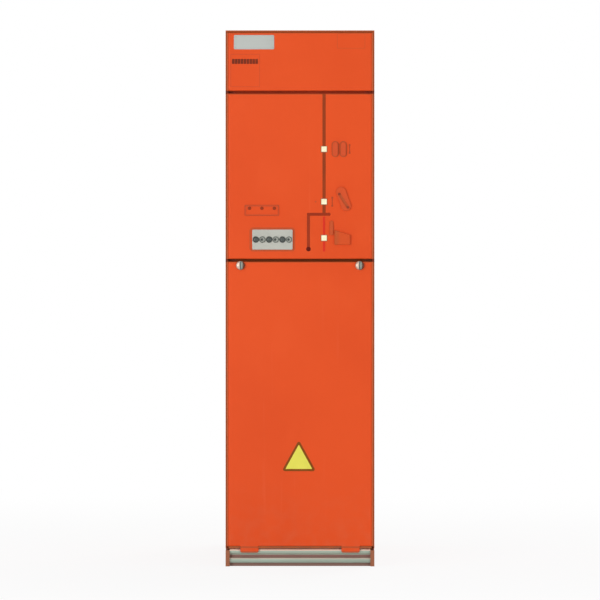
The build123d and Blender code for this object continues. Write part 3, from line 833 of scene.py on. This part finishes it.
def buildSign():
    backing = triangle(sign["half"], sign["tall"], sign["baseZ"], 0, sign["thick"], sign["corner"])
    softenFace(backing, "-Y", sign["soft"])
    dress(backing, "sign_backing", foil("signEdge", sign["edge"], 0.1), "cover", 15)
    # the field keeps the same distance to all three sides
    lean = math.atan2(sign["tall"], sign["half"])
    half = sign["half"] - sign["rim"] * (1 + math.cos(lean)) / math.sin(lean)
    field = triangle(half, sign["tall"] * half / sign["half"], sign["baseZ"] + sign["rim"], sign["thick"],
                     sign["film"], sign["innerCorner"])
    softenFace(field, "-Y", sign["filmSoft"])
    dress(field, "sign_field", foil("signYellow", sign["yellow"]), "cover", 15)


buildSign()
print("sign plate fixed")


# knobs of the cable cover
knob = {"x": 148.5, "z": 750, "seat": 0.3, "radius": 11, "skirt": 3.5, "footSoft": 1.1,
        "slotWide": 3, "slotDeep": 3, "slotSoft": 0.3, "stud": 4, "studReach": 37.3, "studSoft": 1.2,
        "dome": [(0.3, 1.4), (0.6, 1.2), (0.9, 1.1), (1.2, 0.9), (1.5, 0.6), (2.0, 0.25), (2.5, 0.05)]}


def buildKnob():
    seat = onFront(-knob["x"], knob["z"], knob["seat"])
    piece = stub(knob["radius"], knob["skirt"], seat, "-Y", 64)
    aim = mm * seat[1] - 1e-5
    pickEdges(piece, lambda a, b: a.y > aim and b.y > aim)
    bevelPicks(knob["footSoft"], 3)
    crown(piece, "-Y", knob["dome"])
    top = min(v.co.y for v in piece.data.vertices) / mm
    cutter = block((knob["slotWide"], 2 * knob["slotDeep"], 3 * knob["radius"]),
                   (-knob["x"], top, knob["z"]))
    takeUp(piece)
    slot = piece.modifiers.new("slot", "BOOLEAN")
    slot.operation, slot.object = "DIFFERENCE", cutter
    bpy.ops.object.modifier_apply(modifier="slot")
    bpy.data.objects.remove(cutter)
    edge = piece.modifiers.new("edge", "BEVEL")
    edge.width, edge.segments = mm * knob["slotSoft"], 2
    edge.limit_method, edge.angle_limit = "ANGLE", math.radians(50)
    bpy.ops.object.modifier_apply(modifier="edge")
    # the stud starts 1 mm inside the head
    shank = stub(knob["stud"], knob["studReach"] + 1, (seat[0], seat[1] - 1, seat[2]), "+Y")
    softenFace(shank, "+Y", knob["studSoft"])
    joinTo(piece, shank)
    twin = twinOf(piece, (2 * knob["x"], 0, 0))
    for side, one, x in (("left", piece, -knob["x"]), ("right", twin, knob["x"])):
        dress(one, side + "_knob_turned", turnedKnob(side + "KnobPlate", mm * x, mm * knob["z"]),
              side + "_knob_body")
        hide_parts(side + "_knob")


buildKnob()
print("knobs turned")


# voltage detector: rings, port pins set off-centre so their dark tone stands for the shade inside the
# sockets, and the seal that shows round the case, whose brown is painted shade along the case's outline
detector = {"proud": 6.5, "z": 814.5, "port": -93.7, "lamp": -110.1, "pitch": 33.2, "ring": 6.8,
            "wire": 0.9, "flat": 0.6, "pin": 3.1, "pinTall": 0.5, "pinShadeShift": -1.4,
            "pinDome": [(0.4, 0.3), (0.5, 0.1), (0.6, -0.3)], "lens": 4.6, "lensTall": 0.4,
            "lensDome": [(0.5, 0.35), (0.9, 0.3), (1.2, 0.15)],
            "seal": {"x0": -126, "x1": -12, "z0": 785, "z1": 844.8, "line": 4.2, "thick": 0.4, "corner": 9}}


def ring(name, x, material):
    # a flat bead on the face of the case
    leaveAll()
    seat = onFront(x, detector["z"], detector["proud"])
    bpy.ops.mesh.primitive_torus_add(major_radius=mm * detector["ring"], minor_radius=mm * detector["wire"],
                                     major_segments=40, minor_segments=10, location=mm * Vector(seat),
                                     rotation=(math.pi / 2, 0, 0))
    bpy.context.object.scale.z = detector["flat"]
    piece = settle()
    dress(piece, name, material, smooth=60)
    return piece


def button(name, x, radius, tall, dome, sides, material):
    # a round boss on the face of the case
    piece = stub(radius, tall, onFront(x, detector["z"], detector["proud"]), "-Y", sides)
    crown(piece, "-Y", dome)
    dress(piece, name, material)
    return piece


def buildDetector():
    dark = mouldedPlastic("portRing", tone(72, 80, 74), 0.4)
    black = mouldedPlastic("portPin", tone(48, 52, 48), 0.35)
    shade = mouldedPlastic("lampRing", tone(52, 58, 54), 0.3)
    glass = mouldedPlastic("lampLens", tone(74, 81, 77), 0.2)
    made = {"port_ring": ring("port_ring_1", detector["port"], dark),
            "port_pin": button("port_pin_1", detector["port"] + detector["pinShadeShift"], detector["pin"],
                               detector["pinTall"], detector["pinDome"], 28, black),
            "lamp_ring": ring("lamp_ring_1", detector["lamp"], shade),
            "lamp_lens": button("lamp_lens_1", detector["lamp"], detector["lens"], detector["lensTall"],
                                detector["lensDome"], 36, glass)}
    for n in (1, 2):
        for stem, first in made.items():
            copyTo(first, f"{stem}_{n + 1}", (n * detector["pitch"], 0, 0))
    thinFrame("detector_seal", detector["seal"], printedInk("detectorSeal", tone(192, 84, 46), 0.3))


buildDetector()
print("detector fitted")


# lamp strip above the detector: lenses and the printed outline round it
strip = {"proud": 2.0, "lampX": -126, "lampZ": 892.5, "pitch": 31, "lens": 4.0, "lensTall": 0.8,
         "lensDome": [(0.5, 0.45), (0.8, 0.3), (0.9, 0.1)],
         "outline": {"x0": -138.4, "x1": -51.6, "z0": 873.6, "z1": 901.4, "line": 1.3, "thick": 0.2,
                     "corner": 3}}


def buildStrip():
    lens = stub(strip["lens"], strip["lensTall"], onFront(strip["lampX"], strip["lampZ"], strip["proud"]),
                "-Y", 28)
    crown(lens, "-Y", strip["lensDome"])
    dress(lens, "strip_lamp_1", darkPaint("stripLens", tone(140, 56, 30), 0.6, 0.08))
    copyRest(lens, "strip_lamp", [(strip["pitch"], 0, 0), (2 * strip["pitch"], 0, 0)])
    thinFrame("strip_outline", strip["outline"], printedInk("stripPrint", tone(190, 78, 44), 0.35))


buildStrip()
print("lamp strip fitted")


# seals that fill the gaps beside the front sheets and under the roof; their brown stands in for the shade in
# those gaps
seal = {"x0": 178.8, "x1": 183.5, "back": -364, "shy": 0.7, "z0": 50, "z1": 1331, "nose": 1.2,
        "roofZ0": 1331.3, "roofZ1": 1334, "roofHalf": 183.5, "roofNose": 0.8,
        "lipX": 0.1802, "lipFade": (0.0003, -0.0003), "lipTop": (1.3312, 1.3309), "gapFade": (0.0046, 0.0030),
        "outer": tone(158, 80, 42), "lip": tone(250, 118, 66), "bloom": tone(120, 72, 52)}


def trimSeal(name):
    # brown rubber as painted shade of the gap, its inner lip painted lighter as painted light, and painted
    # shade where a seam of the front meets it
    trim = Finish(name, {"Specular IOR Level": 0.2})
    bloom = trim.grain(30, 4).step(0.4, 0.8)
    lip = abs(trim.x).stepFrom(seal["lipX"], seal["lipFade"]) * trim.z.step(*seal["lipTop"])
    colour = trim.blend(lip, seal["outer"], seal["lip"])
    for height in seamHeights:
        colour = trim.blend(abs(trim.z - height).step(*seal["gapFade"]), colour, powderCoat["seam"])
    return trim.done(trim.blend(bloom * 0.12, colour, seal["bloom"]), 0.6 + 0.2 * bloom,
                     trim.grain(900) + bloom, 0.3, 0.0001)


def buildSeals():
    trim = trimSeal("trimRubber")
    nose = front + seal["shy"]
    left = slab((-seal["x1"], nose, seal["z0"]), (-seal["x0"], seal["back"], seal["z1"]))
    softenFace(left, "-Y", seal["nose"], 3)
    dress(left, "left_edge_seal", trim)
    copyTo(left, "right_edge_seal", (seal["x0"] + seal["x1"], 0, 0))
    roof = slab((-seal["roofHalf"], nose, seal["roofZ0"]), (seal["roofHalf"], seal["back"], seal["roofZ1"]))
    softenFace(roof, "-Y", seal["roofNose"], 3)
    dress(roof, "roof_edge_seal", trim)


# brown edging along the foot of the cable cover, left, between and right of its tongues; its brown is painted
# shade under the cover
edging = {"spans": {"left": (-178, -150), "centre": (-102, 102), "right": (150, 178)},
          "z0": 44.6, "z1": 50, "y0": -382.2, "y1": -376, "nose": 1.8, "colour": tone(168, 88, 44)}


def buildEdging():
    trim = softRubber("coverEdging", edging["colour"])
    for place, (x0, x1) in edging["spans"].items():
        piece = slab((x0, edging["y0"], edging["z0"]), (x1, edging["y1"], edging["z1"]))
        # round nose like a pushed-on profile
        pickEdges(piece, lambda a, b: along(a, b, 0) and a.z < mm * (edging["z0"] + 0.1))
        bevelPicks(edging["nose"], 4)
        dress(piece, f"cover_edging_{place}", trim, "cover")


buildSeals()
buildEdging()
print("seals fitted")


# screws and bolts of the back, the cable compartment and its floor
fixings = {"washer": 6.0, "washerTall": 0.9, "washerSoft": 0.3, "head": 4.6, "headTall": 2.6, "headSeat": 0.8,
           "dish": [(0.5, 0.35), (0.9, 0), (0.4, -0.35)],
           "rearRows": {"rear_upper_panel": 6, "rear_lower_panel": 4}, "rearX": 11, "rearZ": 13,
           "flange": 12, "bushingReach": 43.5, "bushingCount": 6, "endX": 9,
           "floorX": 12, "floorY": 10, "floorScale": 0.8}


def inMm(name):
    return [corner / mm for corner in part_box(name)]


def hexScrew(name, seat, facing, material, scale=1.0):
    # flanged hexagon head with a dished end
    disc = stub(fixings["washer"] * scale, fixings["washerTall"] * scale, seat, facing, 28)
    softenFace(disc, facing, fixings["washerSoft"] * scale)
    above = Vector(seat) + outward[facing] * fixings["headSeat"] * scale
    head = stub(fixings["head"] * scale, fixings["headTall"] * scale, above, facing, 6)
    crown(head, facing, [(inwards * scale, up * scale) for inwards, up in fixings["dish"]])
    joinTo(disc, head)
    dress(disc, name, material)
    return disc


def buildScrews():
    plated = brushedSteel("platedScrew", tone(188, 190, 188), 0.32, (1, 1, 1), 0.8)
    for panel, rows in fixings["rearRows"].items():
        low, high = inMm(panel)
        x, z = high.x - fixings["rearX"], low.z + fixings["rearZ"]
        pitch = (high.z - fixings["rearZ"] - z) / (rows - 1)
        first = hexScrew(panel + "_screw_1", (-x, -front, z), "+Y", plated)
        places = [(2 * x * side, 0, row * pitch) for row in range(rows) for side in (0, 1)]
        copyRest(first, panel + "_screw", places[1:])
    # bushing flanges
    low, high = inMm("centre_bushing")
    pitch = inMm("right_bushing")[0].x - low.x
    reach, count = fixings["bushingReach"], fixings["bushingCount"]
    seat = (-pitch, inMm("gas_tank")[0].y - fixings["flange"], (low.z + high.z) / 2 + reach)
    first = hexScrew("bushing_bolt_1", seat, "-Y", plated)
    turned = [2 * math.pi * n / count for n in range(count)]
    places = [(phase * pitch + reach * math.sin(angle), 0, reach * (math.cos(angle) - 1))
              for phase in range(3) for angle in turned]
    copyRest(first, "bushing_bolt", places[1:])
    # clamp rail ends and earth bar standoffs
    for stem, carrier, face in (("clamp_rail_screw", "cable_clamp_rail", "cable_clamp_rail"),
                                ("earth_bar_bolt", "earth_standoffs", "earth_bar")):
        low, high = inMm(carrier)
        seat = (low.x + fixings["endX"], inMm(face)[0].y, (low.z + high.z) / 2)
        first = hexScrew(stem + "_1", seat, "-Y", plated)
        copyRest(first, stem, [(high.x - low.x - 2 * fixings["endX"], 0, 0)])
    # floor plates
    for panel in ("front_floor_plate", "rear_floor_plate"):
        low, high = inMm(panel)
        seat = (low.x + fixings["floorX"], low.y + fixings["floorY"], high.z)
        first = hexScrew(panel + "_screw_1", seat, "+Z", plated, fixings["floorScale"])
        wide = high.x - low.x - 2 * fixings["floorX"]
        deep = high.y - low.y - 2 * fixings["floorY"]
        copyRest(first, panel + "_screw", [(wide, 0, 0), (0, deep, 0), (wide, deep, 0)])


buildScrews()
print("screws set")


# foam seal round the opening of the cable compartment
foam = {"x": 171, "wide": 9, "thick": 3.6, "z0": 62, "z1": 736, "topZ": 742.5, "topHalf": 136,
        "topTall": 7, "nose": 1.6, "colour": tone(52, 50, 48)}


def buildFoam():
    black = softRubber("foamSeal", foam["colour"])
    middle = inMm("lower_cross_rail")[0].y - foam["thick"] / 2
    left = block((foam["wide"], foam["thick"], foam["z1"] - foam["z0"]),
                 (-foam["x"], middle, (foam["z0"] + foam["z1"]) / 2))
    softenFace(left, "-Y", foam["nose"], 4)
    dress(left, "left_foam_seal", black)
    copyTo(left, "right_foam_seal", (2 * foam["x"], 0, 0))
    top = block((2 * foam["topHalf"], foam["thick"], foam["topTall"]), (0, middle, foam["topZ"]))
    softenFace(top, "-Y", foam["nose"], 4)
    dress(top, "top_foam_seal", black)


buildFoam()
print("foam seal laid")


# white room, four soft lamps and the photograph's straight view of the front
studio = {"ambient": 0.42, "paper": 0.88, "matt": 0.82, "wash": (0.7, 3.0), "floorZ": -0.0003,
          "floorSize": 400, "lens": 200, "sensor": 36, "span": 1.4955, "eyeZ": 0.664, "aim": (0, 0, 0.7),
          "lamps": {"keyLamp": {"at": (-2.6, -4.2, 1.3), "size": (2.4, 2.4), "power": 96},
                    "fillLamp": {"at": (2.8, -4.0, 0.9), "size": (2.0, 2.4), "power": 42},
                    "topLamp": {"at": (0, 0.4, 4.2), "size": (2.6, 2.6), "power": 36},
                    "rearLamp": {"at": (1.8, 4.4, 3.2), "size": (3.2, 2.6), "power": 112}}}


def directView(board):
    # 1 where the camera sees a thing itself, in a mirror or through glass
    ray = board.node("ShaderNodeLightPath", output="Is Camera Ray")
    rays = ray.socket.node.outputs
    glossy, through = Wire(board, rays["Is Glossy Ray"]), Wire(board, rays["Is Transmission Ray"])
    return (ray + glossy + through).least(1)


def placeCamera(scene):
    camera = bpy.data.cameras.new("camera")
    camera.lens, camera.sensor_width = studio["lens"], studio["sensor"]
    camera.clip_end = 100
    eye = bpy.data.objects.new("camera", camera)
    distance = studio["span"] / 2 / (studio["sensor"] / 2 / studio["lens"])
    eye.location = (0, mm * front - distance, studio["eyeZ"])
    eye.rotation_euler = (math.pi / 2, 0, 0)
    scene.collection.objects.link(eye)
    scene.camera = eye


def lightRoom(scene):
    scene.world = bpy.data.worlds.new("studio")
    scene.world.use_nodes = True
    sky = Board(scene.world.node_tree)
    sky.tree.nodes.clear()
    strength = studio["ambient"] + directView(sky) * (1 - studio["ambient"])
    shown = sky.node("ShaderNodeBackground", {}, {0: (1, 1, 1, 1), 1: strength})
    sky.node("ShaderNodeOutputWorld", {}, {0: shown})
    for name, lamp in studio["lamps"].items():
        light = bpy.data.lights.new(name, "AREA")
        light.shape = "RECTANGLE"
        light.size, light.size_y = lamp["size"]
        light.energy = lamp["power"]
        stand = bpy.data.objects.new(name, light)
        stand.location = lamp["at"]
        aim = Vector(studio["aim"]) - Vector(lamp["at"])
        stand.rotation_euler = aim.to_track_quat("-Z", "Y").to_euler()
        stand.visible_camera = False
        stand.visible_glossy = name != "rearLamp"        # it would wash out the roof at low views
        scene.collection.objects.link(stand)


def layFloor():
    leaveAll()
    bpy.ops.mesh.primitive_plane_add(size=studio["floorSize"], location=(0, 0, studio["floorZ"]))
    floor = bpy.context.object
    floor.name = "floor"
    paper = bpy.data.materials.new("paperFloor")
    paper.use_nodes = True
    board = Board(paper.node_tree)
    board.tree.nodes.clear()
    seen = directView(board)
    matt = board.node("ShaderNodeBsdfDiffuse", {}, {0: (studio["matt"],) * 3 + (1,)})
    white = board.node("ShaderNodeEmission", {}, {0: (1, 1, 1, 1), 1: 1.0})
    spot = board.node("ShaderNodeTexCoord", output="Object")
    away = board.node("ShaderNodeVectorMath", {"operation": "LENGTH"}, {0: spot}, "Value")
    wash = studio["paper"] + away.step(*studio["wash"]) * (1 - studio["paper"])
    both = board.node("ShaderNodeMixShader", {}, {0: seen * wash, 1: matt, 2: white})
    board.node("ShaderNodeOutputMaterial", {}, {0: both})
    floor.data.materials.append(paper)


bpy.context.scene.view_settings.view_transform = "Standard"
placeCamera(bpy.context.scene)
lightRoom(bpy.context.scene)
layFloor()
print("studio set")
